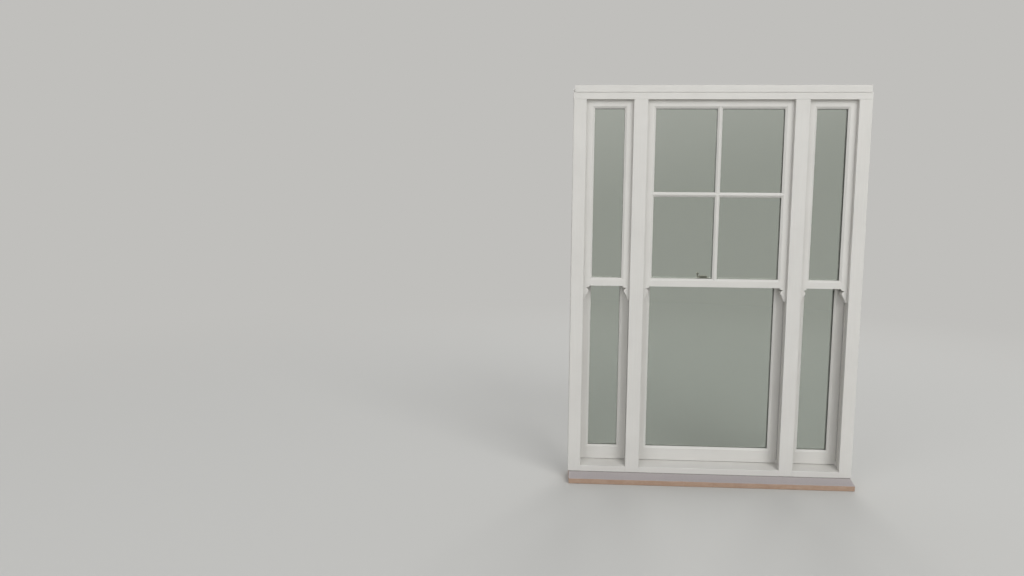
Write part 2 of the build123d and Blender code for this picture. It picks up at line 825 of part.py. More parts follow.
# The sashes, light by light: joinery, glazing and the moving halves of the balances.
for light in lights:
    prefix = light + "_upper"
    stiles = upper_stiles(light)
    top_rail = upper_top_rail(light, stiles)
    meeting_rail = upper_meeting_rail(light, stiles)
    keep(stiles, prefix + "_stiles")
    keep(top_rail, prefix + "_top_rail")
    keep(meeting_rail, prefix + "_meeting_rail")
    glazing(list(upper_openings(light)), upper_sash_y, prefix)
    keep(balance_rods(light, "upper"), prefix + "_balance_rods")

    # Only the wide middle light is divided: one bar runs from rail to rail, two are let in beside it.
    if light == "centre":
        bar_low = meeting_top_z - rebate_width
        with BuildPart() as vertical_bar:
            with BuildSketch(Plane((0, upper_sash_y, bar_low))):
                bar_section()
            extrude(amount=upper_sight_z + rebate_width - bar_low)
            add(top_rail.part, mode=Mode.SUBTRACT)
            add(meeting_rail.part, mode=Mode.SUBTRACT)
        keep(vertical_bar, prefix + "_vertical_bar")
        with BuildPart() as horizontal_bars:
            with BuildSketch(Plane((0, upper_sash_y, bar_z), x_dir=(0, 0, 1), z_dir=(-1, 0, 0))):
                bar_section()
            extrude(amount=sight_half(light) + rebate_width, both=True)
            add(stiles.part, mode=Mode.SUBTRACT)
            add(vertical_bar.part, mode=Mode.SUBTRACT)
        keep(horizontal_bars, prefix + "_horizontal_bars")

    prefix = light + "_lower"
    stiles = lower_stiles(light)
    keep(stiles, prefix + "_stiles")
    keep(lower_meeting_rail(light, stiles), prefix + "_meeting_rail")
    keep(lower_bottom_rail(light, stiles), prefix + "_bottom_rail")
    glazing(list(lower_openings(light)), lower_sash_y, prefix)
    keep(balance_rods(light, "lower"), prefix + "_balance_rods")

# The fastener stands on the meeting rail of the middle lower sash, beside the glazing bar.
pivot_y = lower_sash_y - meeting_feather - meeting_bevel + fastener_inset + fastener_base_width / 2
boss_z = meeting_top_z + fastener_base_thickness + boss_height
lever_z = boss_z + lever_gap
with BuildPart() as fastener_base:
    with BuildSketch(Plane((fastener_x, pivot_y, meeting_top_z))):
        SlotOverall(fastener_base_length, fastener_base_width)
    extrude(amount=fastener_base_thickness)
    with BuildSketch(Plane((fastener_x, pivot_y, meeting_top_z + fastener_base_thickness))):
        Circle(boss_radius)
    extrude(amount=boss_height)
    with BuildSketch(Plane((fastener_x, pivot_y, boss_z))):
        Circle(pivot_radius)
    extrude(amount=2 * lever_gap + lever_hub_height)
    head_z = lever_z + lever_hub_height + lever_gap
    with BuildSketch(Plane((fastener_x, pivot_y, head_z))):
        Circle(pivot_head_radius)
    extrude(amount=pivot_head_height)
    chamfer(fastener_base.edges().group_by(Axis.Z)[-1], pivot_head_height / 2)
keep(fastener_base, "centre_lower_fastener_base")

# At rest the lever lies along the rail, unlocked. A quarter turn brings its nose under the keeper.
# Its knob is turned: a neck, a cove that opens to the rim, and a bevelled top.
with BuildPart() as fastener_lever:
    with BuildSketch(Plane((fastener_x, pivot_y, lever_z))):
        Circle(boss_radius)
        with Locations((lever_nose_reach - lever_nose_width / 2, 0)):
            Circle(lever_nose_width / 2)
        make_hull()
    extrude(amount=lever_arm_thickness)
    with BuildSketch(Plane((fastener_x, pivot_y, lever_z))):
        Circle(lever_handle_width / 2)
        with Locations((-lever_handle_reach, 0)):
            Circle(lever_handle_width / 2)
        make_hull()
    extrude(amount=lever_arm_thickness)
    with BuildSketch(Plane((fastener_x, pivot_y, lever_z))):
        Circle(boss_radius)
    extrude(amount=lever_hub_height)
    knob_foot = (fastener_x - lever_handle_reach, pivot_y, lever_z + lever_arm_thickness)
    with BuildSketch(Plane(knob_foot, x_dir=(1, 0, 0), z_dir=(0, -1, 0))):
        with BuildLine():
            Polyline(
                (0, 0),
                (knob_neck_radius, 0),
                (knob_neck_radius, knob_neck_height),
                (knob_radius, knob_rim_height),
                (knob_radius, knob_height - knob_bevel),
                (knob_radius - knob_bevel, knob_height),
                (0, knob_height),
                close=True,
            )
        make_face()
    revolve(axis=Axis(knob_foot, (0, 0, 1)))
    with BuildSketch(Plane((fastener_x, pivot_y, lever_z))):
        Circle(pivot_radius + pivot_clearance)
    extrude(amount=lever_hub_height, mode=Mode.SUBTRACT)
keep(fastener_lever, "fastener_lever")

# The keeper is screwed to the meeting rail of the upper sash: its lip reaches over the lever's nose.
keeper_y = upper_sash_y + bevel_top - keeper_inset - keeper_width
lip_z = lever_z + lever_arm_thickness + keeper_lip_gap
with BuildPart() as fastener_keeper:
    keeper_x = (fastener_x - keeper_length / 2, fastener_x + keeper_length / 2)
    plate_z = (meeting_top_z, meeting_top_z + keeper_thickness)
    block(keeper_x, (keeper_y, keeper_y + keeper_width), plate_z)
    corners = fastener_keeper.edges().filter_by(Axis.Z)
    fillet(corners, keeper_thickness)
    with BuildSketch(Plane((fastener_x, keeper_y, 0), x_dir=(0, 1, 0), z_dir=(1, 0, 0))):
        with BuildLine():
            Polyline(
                (0, plate_z[0]),
                (0, lip_z + keeper_lip_thickness),
                (keeper_lip_reach, lip_z + keeper_lip_thickness),
                (keeper_lip_reach, lip_z),
                (keeper_lip_thickness, lip_z),
                (keeper_lip_thickness, plate_z[0]),
                close=True,
            )
        make_face()
    extrude(amount=keeper_hook_length / 2, both=True)
    crown = fastener_keeper.edges().filter_by(Axis.X).group_by(Axis.Z)[-1].sort_by(Axis.Y)[0]
    fillet(crown, keeper_lip_thickness)
keep(fastener_keeper, "centre_upper_keeper")

# A pair of hook lifts on the bottom rail of the middle lower sash, on the room side.
lift_z = lower_sight_z - rebate_width - lift_margin - lift_plate_height / 2
sash_back_y = lower_sash_y + sash_thickness
with BuildPart() as sash_lifts:
    rail_face = Plane((lift_offset, sash_back_y, lift_z), x_dir=(-1, 0, 0), z_dir=(0, 1, 0))
    with BuildSketch(rail_face):
        RectangleRounded(lift_plate_width, lift_plate_height, lift_corner_radius)
    extrude(amount=lift_plate_thickness)
    hook_end = lift_hook_reach - lift_hook_thickness / 2
    with BuildSketch(Plane((lift_offset, sash_back_y, lift_z), x_dir=(0, 1, 0), z_dir=(1, 0, 0))):
        with BuildLine():
            FilletPolyline(
                (lift_plate_thickness / 2, lift_hook_low),
                (hook_end, lift_hook_low),
                (hook_end, lift_hook_high),
                radius=lift_hook_radius,
            )
        trace(line_width=lift_hook_thickness)
    extrude(amount=lift_hook_width / 2, both=True)
    both_sides(0)
keep(sash_lifts, "centre_lower_lifts")
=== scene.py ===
import math

import bmesh
import bpy
from mathutils import Matrix, Vector


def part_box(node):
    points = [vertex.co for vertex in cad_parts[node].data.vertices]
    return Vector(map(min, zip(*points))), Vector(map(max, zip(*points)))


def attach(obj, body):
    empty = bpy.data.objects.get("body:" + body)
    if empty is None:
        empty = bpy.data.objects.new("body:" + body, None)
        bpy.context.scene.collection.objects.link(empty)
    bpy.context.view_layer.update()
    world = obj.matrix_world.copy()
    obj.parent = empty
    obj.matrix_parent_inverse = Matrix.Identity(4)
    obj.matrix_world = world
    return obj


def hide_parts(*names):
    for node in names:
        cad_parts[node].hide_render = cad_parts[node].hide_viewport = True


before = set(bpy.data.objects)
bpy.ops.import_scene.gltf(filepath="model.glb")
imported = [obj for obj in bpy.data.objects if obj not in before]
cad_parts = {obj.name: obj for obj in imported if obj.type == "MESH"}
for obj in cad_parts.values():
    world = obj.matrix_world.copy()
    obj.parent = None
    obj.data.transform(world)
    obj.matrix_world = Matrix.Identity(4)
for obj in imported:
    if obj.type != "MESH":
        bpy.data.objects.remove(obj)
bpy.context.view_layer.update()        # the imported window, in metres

# Slip sill: one length of fine buff sandstone under the whole window, bedded on mortar. It was sawn
# to shape and rubbed along its nose. Its top is drawn greyer than its front: partly the weather, and
# partly painted light, the cool light of the sky on the top painted into its colour.
stone_buff = "#a18570"
stone_pale = "#b29b89"
stone_rust = "#8f7565"
# the grey of the top: partly weathering, partly painted light from the sky above
stone_top_weathered_and_skylit = "#a8a3a4"
stone_pit_dark = "#8a7a70"
sand_grain = 0.002       # real grains are 0.3 mm, drawn coarser so that they show
stone_bed = 0.012        # thickness of the layers the sand was laid down in
bed_dip = (0.06, 0.03, 0)
rust_stains = 9          # to the metre, one each 110 mm
stone_pit = 0.011        # from one small pit in the face to the next
saw_mark = 0.00785       # from one line of the saw to the next
wave_at_one = 0.314      # width that Blender gives one wave at scale 1
stone_arris = 0.0012


def shade(code):
    """A colour written as sRGB hex, as the linear numbers that a shader takes."""
    parts = [int(code[i:i + 2], 16) / 255 for i in (1, 3, 5)]
    return [p / 12.92 if p <= 0.04045 else ((p + 0.055) / 1.055) ** 2.4 for p in parts] + [1.0]


def blank(name):
    """A material with no nodes in it yet."""
    made = bpy.data.materials.new(name)
    made.use_nodes = True
    made.node_tree.nodes.clear()
    return made


def add(material, kind, inputs=None, **settings):
    """Add one node to a material, give it its settings, and set or link its inputs."""
    made = material.node_tree.nodes.new("ShaderNode" + kind)
    for name, value in settings.items():
        setattr(made, name, value)
    for name, value in (inputs or {}).items():
        if isinstance(value, bpy.types.NodeSocket):
            material.node_tree.links.new(value, made.inputs[name])
        else:
            made.inputs[name].default_value = value
    return made


def dress(node, material, arris=0.0):
    """Give a node of the solids its finish, and ease its sharp corners by this radius."""
    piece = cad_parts[node]
    piece.data.materials.clear()
    piece.data.materials.append(material)
    if arris > 0:
        weld = piece.modifiers.new("joined faces", "WELD")
        weld.merge_threshold = 0.00001
        ease = piece.modifiers.new("eased corners", "BEVEL")
        ease.width = arris
        ease.segments = 2
        ease.limit_method = "ANGLE"
        ease.angle_limit = math.radians(28)  # rounded edges turn by less at each step
        ease.use_clamp_overlap = True
        piece.modifiers.new("flat faces", "WEIGHTED_NORMAL")


# Sawn sandstone: dull and grainy, with faint beds along its length and the lines of the saw across.
sandstone = blank("sawn_buff_sandstone")
place = add(sandstone, "TexCoord").outputs["Object"]
grains = add(sandstone, "TexNoise", {"Vector": place, "Scale": 1 / sand_grain, "Detail": 5,
                                     "Roughness": 0.75})
bedded = add(sandstone, "Mapping", {"Vector": place, "Rotation": bed_dip,
                                    "Scale": [share / stone_bed for share in (0.3, 0.5, 1)]})
beds = add(sandstone, "TexNoise", {"Vector": bedded.outputs[0], "Scale": 1.0, "Detail": 6, "Roughness": 0.7,
                                   "Distortion": 0.8})
blotches = add(sandstone, "TexNoise", {"Vector": place, "Scale": rust_stains, "Detail": 5, "Roughness": 0.6})
bed_mask = add(sandstone, "MapRange", {"Value": beds.outputs["Fac"], "From Min": 0.3, "From Max": 0.75,
                                       "To Max": 0.9})
buff = add(sandstone, "MixRGB", {"Fac": bed_mask.outputs[0], "Color1": shade(stone_buff),
                                 "Color2": shade(stone_pale)})
rust_mask = add(sandstone, "MapRange", {"Value": blotches.outputs["Fac"], "From Min": 0.55, "From Max": 0.8,
                                        "To Max": 0.6})
rusty = add(sandstone, "MixRGB", {"Fac": rust_mask.outputs[0], "Color1": buff.outputs[0],
                                  "Color2": shade(stone_rust)})
# Painted light in part: faces that look up are mixed towards the grey of the top, for weathering and for the
# sky's cool light on them.
upward = add(sandstone, "SeparateXYZ", {"Vector": add(sandstone, "NewGeometry").outputs["Normal"]})
top_weather_and_sky = add(sandstone, "Math", {0: upward.outputs["Z"], 1: blotches.outputs["Fac"]}, operation="ADD")
top_weather_and_sky_mask = add(sandstone, "MapRange", {"Value": top_weather_and_sky.outputs[0], "From Min": 0.75,
                                           "From Max": 1.25, "To Max": 0.9})
weathered_and_skylit = add(sandstone, "MixRGB", {"Fac": top_weather_and_sky_mask.outputs[0], "Color1": rusty.outputs[0],
                                      "Color2": shade(stone_top_weathered_and_skylit)})
speckle = add(sandstone, "MapRange", {"Value": grains.outputs["Fac"], "From Min": 0.25, "From Max": 0.75,
                                      "To Min": 0.78, "To Max": 1.18})
speckled = add(sandstone, "MixRGB", {"Fac": 1.0, "Color1": weathered_and_skylit.outputs[0],
                                     "Color2": speckle.outputs[0]}, blend_type="MULTIPLY")
cells = add(sandstone, "TexVoronoi", {"Vector": place, "Scale": 1 / stone_pit})
pits = add(sandstone, "MapRange", {"Value": cells.outputs["Distance"], "From Min": 0.03, "From Max": 0.15,
                                   "To Min": 0.55})
stone_colour = add(sandstone, "MixRGB", {"Fac": pits.outputs[0], "Color1": shade(stone_pit_dark),
                                         "Color2": speckled.outputs[0]})
sawn = add(sandstone, "TexWave", {"Vector": place, "Scale": wave_at_one / saw_mark, "Distortion": 1.5,
                                  "Detail": 2}, bands_direction="X")
rough_saw = add(sandstone, "Bump", {"Height": sawn.outputs["Fac"], "Strength": 0.12, "Distance": 0.0006})
pitted = add(sandstone, "Bump", {"Height": pits.outputs[0], "Strength": 0.4, "Distance": 0.001,
                                 "Normal": rough_saw.outputs[0]})
rough_stone = add(sandstone, "Bump", {"Height": grains.outputs["Fac"], "Strength": 0.65, "Distance": 0.001,
                                      "Normal": pitted.outputs[0]})
stone_surface = add(sandstone, "BsdfPrincipled", {"Base Color": stone_colour.outputs[0], "Roughness": 0.9,
                                                  "IOR": 1.54, "Normal": rough_stone.outputs[0]})
add(sandstone, "OutputMaterial", {"Surface": stone_surface.outputs[0]})
dress("slip_sill", sandstone, stone_arris)

# Outer frame: sill, head, jambs and mullions of planed softwood, housed together and sprayed in the
# works with satin paint, three coats, so that the grain only just shows through it.
paint_white = "#d1cfca"
paint_shadow = "#cdcbc6"
paint_dust = "#b9b5ac"
grain_across = 0.0035    # from one growth ring of the softwood to the next
long_grain = 0.02        # the rings run fifty times as far along the grain as across it
spray_peel = 0.003       # real orange peel is 1 mm across, drawn coarser so that it shows
paint_clouds = 5         # to the metre, one each 200 mm
all_heights = 5.0        # more than the window's height, for a piece whose grain is upright all over
board_arris = 0.0008


def satin_paint(name, upright_below=0.0, upright_above=0.0):
    """Sprayed satin paint on softwood, its grain upright between two heights and level elsewhere."""
    paint = blank(name)
    place = add(paint, "TexCoord").outputs["Object"]
    across, along = 1 / grain_across, long_grain / grain_across
    level = add(paint, "Mapping", {"Vector": place, "Scale": (along, across, across)})
    upright = add(paint, "Mapping", {"Vector": place, "Scale": (across, across, along)})
    height = add(paint, "SeparateXYZ", {"Vector": place}).outputs["Z"]
    over = add(paint, "Math", {0: height, 1: upright_above}, operation="GREATER_THAN")
    under = add(paint, "Math", {0: height, 1: upright_below}, operation="LESS_THAN")
    between = add(paint, "Math", {0: over.outputs[0], 1: under.outputs[0]}, operation="MULTIPLY")
    lengthways = add(paint, "MixRGB", {"Fac": between.outputs[0], "Color1": level.outputs[0],
                                       "Color2": upright.outputs[0]})
    rings = add(paint, "TexNoise", {"Vector": lengthways.outputs[0], "Scale": 1.0, "Detail": 3,
                                    "Distortion": 0.3})
    peel = add(paint, "TexNoise", {"Vector": place, "Scale": 1 / spray_peel, "Detail": 2, "Roughness": 0.4})
    cloudy = add(paint, "TexNoise", {"Vector": place, "Scale": paint_clouds, "Detail": 4,
                                     "Roughness": 0.55})
    cloud_mask = add(paint, "MapRange", {"Value": cloudy.outputs["Fac"], "From Min": 0.42,
                                         "From Max": 0.72})
    coats = add(paint, "MixRGB", {"Fac": cloud_mask.outputs[0], "Color1": shade(paint_white),
                                  "Color2": shade(paint_shadow)})
    ring_mask = add(paint, "MapRange", {"Value": rings.outputs["Fac"], "From Min": 0.3, "From Max": 0.7,
                                        "To Min": 0.98, "To Max": 1.015})
    grained = add(paint, "MixRGB", {"Fac": 1.0, "Color1": coats.outputs[0], "Color2": ring_mask.outputs[0]},
                  blend_type="MULTIPLY")
    upward = add(paint, "SeparateXYZ", {"Vector": add(paint, "NewGeometry").outputs["Normal"]})
    settled = add(paint, "Math", {0: upward.outputs["Z"], 1: cloudy.outputs["Fac"]}, operation="MULTIPLY")
    dust_mask = add(paint, "MapRange", {"Value": settled.outputs[0], "From Min": 0.3, "From Max": 0.9,
                                        "To Max": 0.25})
    dusty = add(paint, "MixRGB", {"Fac": dust_mask.outputs[0], "Color1": grained.outputs[0],
                                  "Color2": shade(paint_dust)})
    sheen = add(paint, "MapRange", {"Value": cloudy.outputs["Fac"], "To Min": 0.38, "To Max": 0.48})
    raised = add(paint, "Bump", {"Height": rings.outputs["Fac"], "Strength": 0.10, "Distance": 0.0004})
    peeled = add(paint, "Bump", {"Height": peel.outputs["Fac"], "Strength": 0.07, "Distance": 0.0004,
                                 "Normal": raised.outputs[0]})
    coat = add(paint, "BsdfPrincipled", {"Base Color": dusty.outputs[0], "Roughness": sheen.outputs[0],
                                         "IOR": 1.5, "Normal": peeled.outputs[0]})
    add(paint, "OutputMaterial", {"Surface": coat.outputs[0]})
    return paint


# Satin paint gives a soft off-white with a low gleam, a trace of grain and some dust on its ledges.
paint_on_rails = satin_paint("satin_paint_on_rails")
paint_on_stiles = satin_paint("satin_paint_on_stiles", upright_below=all_heights)
for node in ("sill", "head"):
    dress(node, paint_on_rails, board_arris)
for node in ("left_jamb", "right_jamb", "left_mullion", "right_mullion"):
    dress(node, paint_on_stiles, board_arris)

# Mastic: a bead of sealant, gunned along the foot of the frame where it stands on the stone, to keep
# the rain out of the joint. It was smoothed with a finger, so it stands out more here and less there.
# greys of the mastic, darkened as painted shade for the shadow line at the foot of the frame
mastic_dark_with_shade = "#6f6c69"
mastic_pale = "#98958f"
mastic_smears = 55       # to the metre, one each 18 mm
mastic_proud = 0.0018    # how far it stands out from the frame, a little less here and more there
mastic_end = 0.001       # how far it stops short of each end of the stone
mastic_steps = 160

# Grey mastic: dull, its grey darkened as painted shade, so that it reads as the shadow line under the sill.
mastic_grey_with_shade = blank("grey_mastic_darkened_as_shade")
place = add(mastic_grey_with_shade, "TexCoord").outputs["Object"]
smeared = add(mastic_grey_with_shade, "TexNoise", {"Vector": place, "Scale": mastic_smears, "Detail": 4})
mastic_colour = add(mastic_grey_with_shade, "MixRGB", {"Fac": smeared.outputs["Fac"], "Color1": shade(mastic_dark_with_shade),
                                            "Color2": shade(mastic_pale)})
dimpled = add(mastic_grey_with_shade, "Bump", {"Height": smeared.outputs["Fac"], "Strength": 0.5, "Distance": 0.001})
mastic_surface = add(mastic_grey_with_shade, "BsdfPrincipled", {"Base Color": mastic_colour.outputs[0],
                                                     "Roughness": 0.7, "IOR": 1.45,
                                                     "Normal": dimpled.outputs[0]})
add(mastic_grey_with_shade, "OutputMaterial", {"Surface": mastic_surface.outputs[0]})


def make_piece(name, mesh, material, body):
    """A new piece from a finished bmesh, with its finish, riding on a body."""
    data = bpy.data.meshes.new(name)
    bmesh.ops.recalc_face_normals(mesh, faces=mesh.faces)
    mesh.to_mesh(data)
    mesh.free()
    data.materials.append(material)
    piece = bpy.data.objects.new(name, data)
    bpy.context.scene.collection.objects.link(piece)
    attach(piece, body)
    return piece


def join_rings(mesh, near, far):
    """Lay a band of faces between two equal rings of vertices."""
    for k in range(len(near)):
        mesh.faces.new((near[k - 1], near[k], far[k], far[k - 1]))


def close_rings(mesh, rings):
    """Join a row of equal rings of vertices into a closed skin, with a face over each end."""
    for near, far in zip(rings, rings[1:]):
        join_rings(mesh, near, far)
    mesh.faces.new(rings[0])
    mesh.faces.new(rings[-1])


stone_low, stone_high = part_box("slip_sill")
foot_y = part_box("outer_side_linings")[0].y
bead = bmesh.new()
rings = []
for step in range(mastic_steps + 1):
    x = stone_low.x + mastic_end + (stone_high.x - stone_low.x - 2 * mastic_end) * step / mastic_steps
    proud = mastic_proud + 0.0005 * math.sin(step * 1.7) + 0.0004 * math.sin(step * 0.53)
    section = ((0.005, -0.0012), (0.005, -0.0001), (-0.0002, -0.0001), (-0.4 * proud, -0.0012),
               (-proud, -0.0031 - 0.25 * proud), (0.0, -0.0031))
    rings.append([bead.verts.new((x, foot_y + y, stone_high.z + z)) for y, z in section])
close_rings(bead, rings)
make_piece("foot_mastic", bead, mastic_grey_with_shade, "frame")

# Linings and trim: planed boards pinned and glued to the frame, outside and inside. Their arrises
# are rubbed round before painting, so that the paint holds on them.
head_lining_arris = 0.0004    # less, so that its joints stay tight
inner_arris = 0.0012
for node in ("outer_side_linings", "outer_mullion_facings", "inner_mullion_facings"):
    dress(node, paint_on_stiles, board_arris)
dress("outer_head_lining", paint_on_rails, head_lining_arris)
dress("head_trim", paint_on_rails, board_arris)
head_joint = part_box("inner_mullion_facings")[1].z
paint_on_linings = satin_paint("satin_paint_on_linings", upright_below=head_joint)
dress("inner_linings", paint_on_linings, inner_arris)

# Parting beads and staff beads: slim machined strips, the first pushed into grooves and the second
# pinned round the room side, so that both can be taken out when a sash has to come out.
bead_corner = 0.013      # nearer than this to its ends, a run of beads is level and so is its grain
bead_arris = 0.0006
low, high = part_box("staff_beads")
paint_on_beads = satin_paint("satin_paint_on_beads", high.z - bead_corner, low.z + bead_corner)
for node in ("parting_beads", "staff_beads"):
    dress(node, paint_on_beads, bead_arris)

# Sashes: stiles and rails of the same softwood, with stub tenons, glued and sprayed before glazing.
# The glazing bars of the middle upper sash are thin mouldings from the same tool as the rails.
lights = ("left", "centre", "right")
rows = ("upper", "lower")
bar_arris = 0.0006
for light in lights:
    for stiles in ("_upper_stiles", "_lower_stiles"):
        dress(light + stiles, paint_on_stiles, board_arris)
    for rail in ("_upper_top_rail", "_upper_meeting_rail", "_lower_meeting_rail", "_lower_bottom_rail"):
        dress(light + rail, paint_on_rails, board_arris)
dress("centre_upper_vertical_bar", paint_on_stiles, bar_arris)
dress("centre_upper_horizontal_bars", paint_on_rails, bar_arris)

# Sealed units: two panes of float glass with a spacer bar between their edges, dry air inside and
# black sealant round the outside. Each is bedded in its rebate and held by the glazing beads.
pane = 0.004
pane_arris = 0.0004
spacer_edge = 0.0025     # from the edge of the unit to the spacer bar
spacer_back = 0.006      # from the edge of the unit to the side of the bar that faces the air
spacer_arris = 0.0005
seal_film = 0.0001       # sealant between each pane and the spacer bar
seal_ease = 0.0002       # how far the sealant round the edge stays off the spacer and inside the glass
bar_to_unit = 0.0065     # from the middle of a glazing bar to the edge of the unit beside it


def add_block(mesh, low, high, arris=0.0, segments=1):
    """Add a block between two corners to a mesh, its edges eased by this radius."""
    size = Vector(high) - Vector(low)
    middle = (Vector(high) + Vector(low)) / 2
    place = Matrix.Translation(middle) @ Matrix.Diagonal((*size, 1))
    made = bmesh.ops.create_cube(mesh, size=1.0, matrix=place)
    if arris > 0:
        edges = {edge for vert in made["verts"] for edge in vert.link_edges}
        bmesh.ops.bevel(mesh, geom=list(edges), offset=arris, segments=segments, affect="EDGES")


# Float glass: clear, flat and glossy, grey-green through the two panes together, the tint deepened as
# painted shade for the darker room behind the panes.
glass_tint_and_shade = "#dbdfda"   # one pane, seen straight through
roller_waves = 4.5       # to the metre, one each 220 mm
float_glass = blank("clear_float_glass")
place = add(float_glass, "TexCoord").outputs["Object"]
roller_wave = add(float_glass, "TexNoise", {"Vector": place, "Scale": roller_waves, "Detail": 1})
wavy = add(float_glass, "Bump", {"Height": roller_wave.outputs["Fac"], "Strength": 0.02, "Distance": 0.01})
# the base colour is the glass's grey-green, deepened as painted shade
glass_surface = add(float_glass, "BsdfPrincipled", {"Base Color": shade(glass_tint_and_shade), "Roughness": 0.0,
                                                    "IOR": 1.52, "Transmission Weight": 1.0,
                                                    "Normal": wavy.outputs[0]})
add(float_glass, "OutputMaterial", {"Surface": glass_surface.outputs[0]})

# Rolled aluminium for the spacer: bright and faintly clouded, with rows of small dark air holes.
roll_marks = 350         # to the metre, one each 3 mm
air_hole = 0.006         # from one air hole to the next
spacer_metal = blank("rolled_aluminium_spacer")
place = add(spacer_metal, "TexCoord").outputs["Object"]
rolled = add(spacer_metal, "TexNoise", {"Vector": place, "Scale": roll_marks, "Detail": 2})
dull = add(spacer_metal, "MapRange", {"Value": rolled.outputs["Fac"], "To Min": 0.28, "To Max": 0.45})
holes = add(spacer_metal, "TexVoronoi", {"Vector": place, "Scale": 1 / air_hole, "Randomness": 0.0})
hole_mask = add(spacer_metal, "MapRange", {"Value": holes.outputs["Distance"], "From Min": 0.12,
                                           "From Max": 0.18})
metal_colour = add(spacer_metal, "MixRGB", {"Fac": hole_mask.outputs[0], "Color1": shade("#55575a"),
                                            "Color2": shade("#bfc1c3")})
spacer_surface = add(spacer_metal, "BsdfPrincipled", {"Base Color": metal_colour.outputs[0], "Metallic": 1.0,
                                                      "Roughness": dull.outputs[0]})
add(spacer_metal, "OutputMaterial", {"Surface": spacer_surface.outputs[0]})

# Polysulphide sealant: black, dull and slightly uneven where it was trowelled round the edge.
trowel_marks = 160       # to the metre, one each 6 mm
edge_seal = blank("black_polysulphide_sealant")
place = add(edge_seal, "TexCoord").outputs["Object"]
trowelled = add(edge_seal, "TexNoise", {"Vector": place, "Scale": trowel_marks, "Detail": 3})
uneven = add(edge_seal, "Bump", {"Height": trowelled.outputs["Fac"], "Strength": 0.4, "Distance": 0.0008})
seal_colour = add(edge_seal, "MixRGB", {"Fac": trowelled.outputs["Fac"], "Color1": shade("#1b1c1d"),
                                        "Color2": shade("#303133")})
seal_surface = add(edge_seal, "BsdfPrincipled", {"Base Color": seal_colour.outputs[0], "Roughness": 0.62,
                                                 "IOR": 1.5, "Normal": uneven.outputs[0]})
add(edge_seal, "OutputMaterial", {"Surface": seal_surface.outputs[0]})

for light in lights:
    for row in rows:
        low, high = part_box(f"{light}_{row}_glass")
        widths, heights = [(low.x, high.x)], [(low.z, high.z)]
        if (light, row) == ("centre", "upper"):
            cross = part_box("centre_upper_horizontal_bars")
            bar_z = (cross[0].z + cross[1].z) / 2
            widths = [(low.x, -bar_to_unit), (bar_to_unit, high.x)]
            heights = [(low.z, bar_z - bar_to_unit), (bar_z + bar_to_unit, high.z)]
        panes, spacers, seals = bmesh.new(), bmesh.new(), bmesh.new()
        for left, right in widths:
            for bottom, top in heights:
                for y0, y1 in ((low.y, low.y + pane), (high.y - pane, high.y)):
                    add_block(panes, (left, y0, bottom), (right, y1, top), pane_arris)
                outer, inner = low.y + pane + seal_film, high.y - pane - seal_film
                seal_low, seal_high = bottom + seal_ease, top - seal_ease
                near, far = spacer_edge, spacer_back
                for x0, x1 in ((left + near, left + far), (right - far, right - near)):
                    add_block(spacers, (x0, outer, bottom + near), (x1, inner, top - near), spacer_arris)
                for z0, z1 in ((bottom + near, bottom + far), (top - far, top - near)):
                    add_block(spacers, (left + far, outer, z0), (right - far, inner, z1), spacer_arris)
                for x0, x1 in ((left, left + near), (right - near, right)):
                    add_block(seals, (x0 + seal_ease, outer, seal_low), (x1 - seal_ease, inner, seal_high))
                for z0, z1 in ((seal_low, bottom + near), (top - near, seal_high)):
                    add_block(seals, (left + near, outer, z0), (right - near, inner, z1))
        body = f"{light}_{row}_sash"
        glass = make_piece(f"{light}_{row}_panes", panes, float_glass, body)
        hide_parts(f"{light}_{row}_glass")
        glass.visible_shadow = False     # daylight falls through the panes onto what is behind them
        make_piece(f"{light}_{row}_spacer_bars", spacers, spacer_metal, body)
        make_piece(f"{light}_{row}_edge_seal", seals, edge_seal, body)

# Glazing beads: splayed strips round each unit on the room side, the uprights between the level ones.
# They are pinned into the rebates when the unit is in, and painted with the sash.
glazing_arris = 0.0005
for row in rows:
    low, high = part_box(f"centre_{row}_glazing_beads")
    paint_on_glazing = satin_paint(f"satin_paint_on_{row}_glazing_beads", high.z - bead_corner,
                                   low.z + bead_corner)
    for light in lights:
        dress(f"{light}_{row}_glazing_beads", paint_on_glazing, glazing_arris)

# Balances: white plastic tubes screwed to the frame beside each sash, a spring sealed in each, and
# a twisted steel rod that runs out of the tube to a foot on the stile.
rod_width = 0.006
rod_thickness = 0.0016
rod_twist = 0.055        # length of one full turn of the twisted strip
rod_step = 0.003         # from one section that the strip is drawn through to the next
wall_to_rod = 0.0117     # from the wall of the groove in the stile to the middle of the rod
foot_thickness = 0.002
foot_height = 0.030
foot_arris = 0.0007
ledge_arris = 0.0006
ledge_let_in = 0.001     # how far the foot's ledge, which the rod stands on, is let into its plate
foot_screw_rises = (0.012, 0.023)
foot_screw_radius = 0.0028
foot_gap = 0.015         # closed, from the foot of an upper sash's rod up to its tube
tube_end_gap = 0.025     # closed, from the top of an upper sash's rod to the top of its tube
rod_engagement = 0.03    # closed, how much of a lower sash's rod is in its tube
lower_tube_gap = 0.0735  # from the tubes of the lower sashes up to the head
cap_radius = 0.0082
cap_face = 0.002         # how far an end cap stands out past the end of its tube
tube_screw_drop = 0.005  # from the top of a tube to its screw
tube_screw_radius = 0.003
turned = 24              # corners of everything that is round
# radii and heights of an end cap, from its bore over the outside to the step inside
cap_profile = ((0.0034, 0.0), (0.0074, 0.0), (cap_radius, 0.001), (cap_radius, 0.013), (0.0081, 0.0135),
               (0.0076, 0.0135), (0.0076, 0.0019), (0.0034, 0.0019))
# the same of the round boss that the rod turns in on its foot
boss_profile = ((0.003, 0.0), (0.0045, 0.0005), (0.0045, 0.0035), (0.003, 0.004))

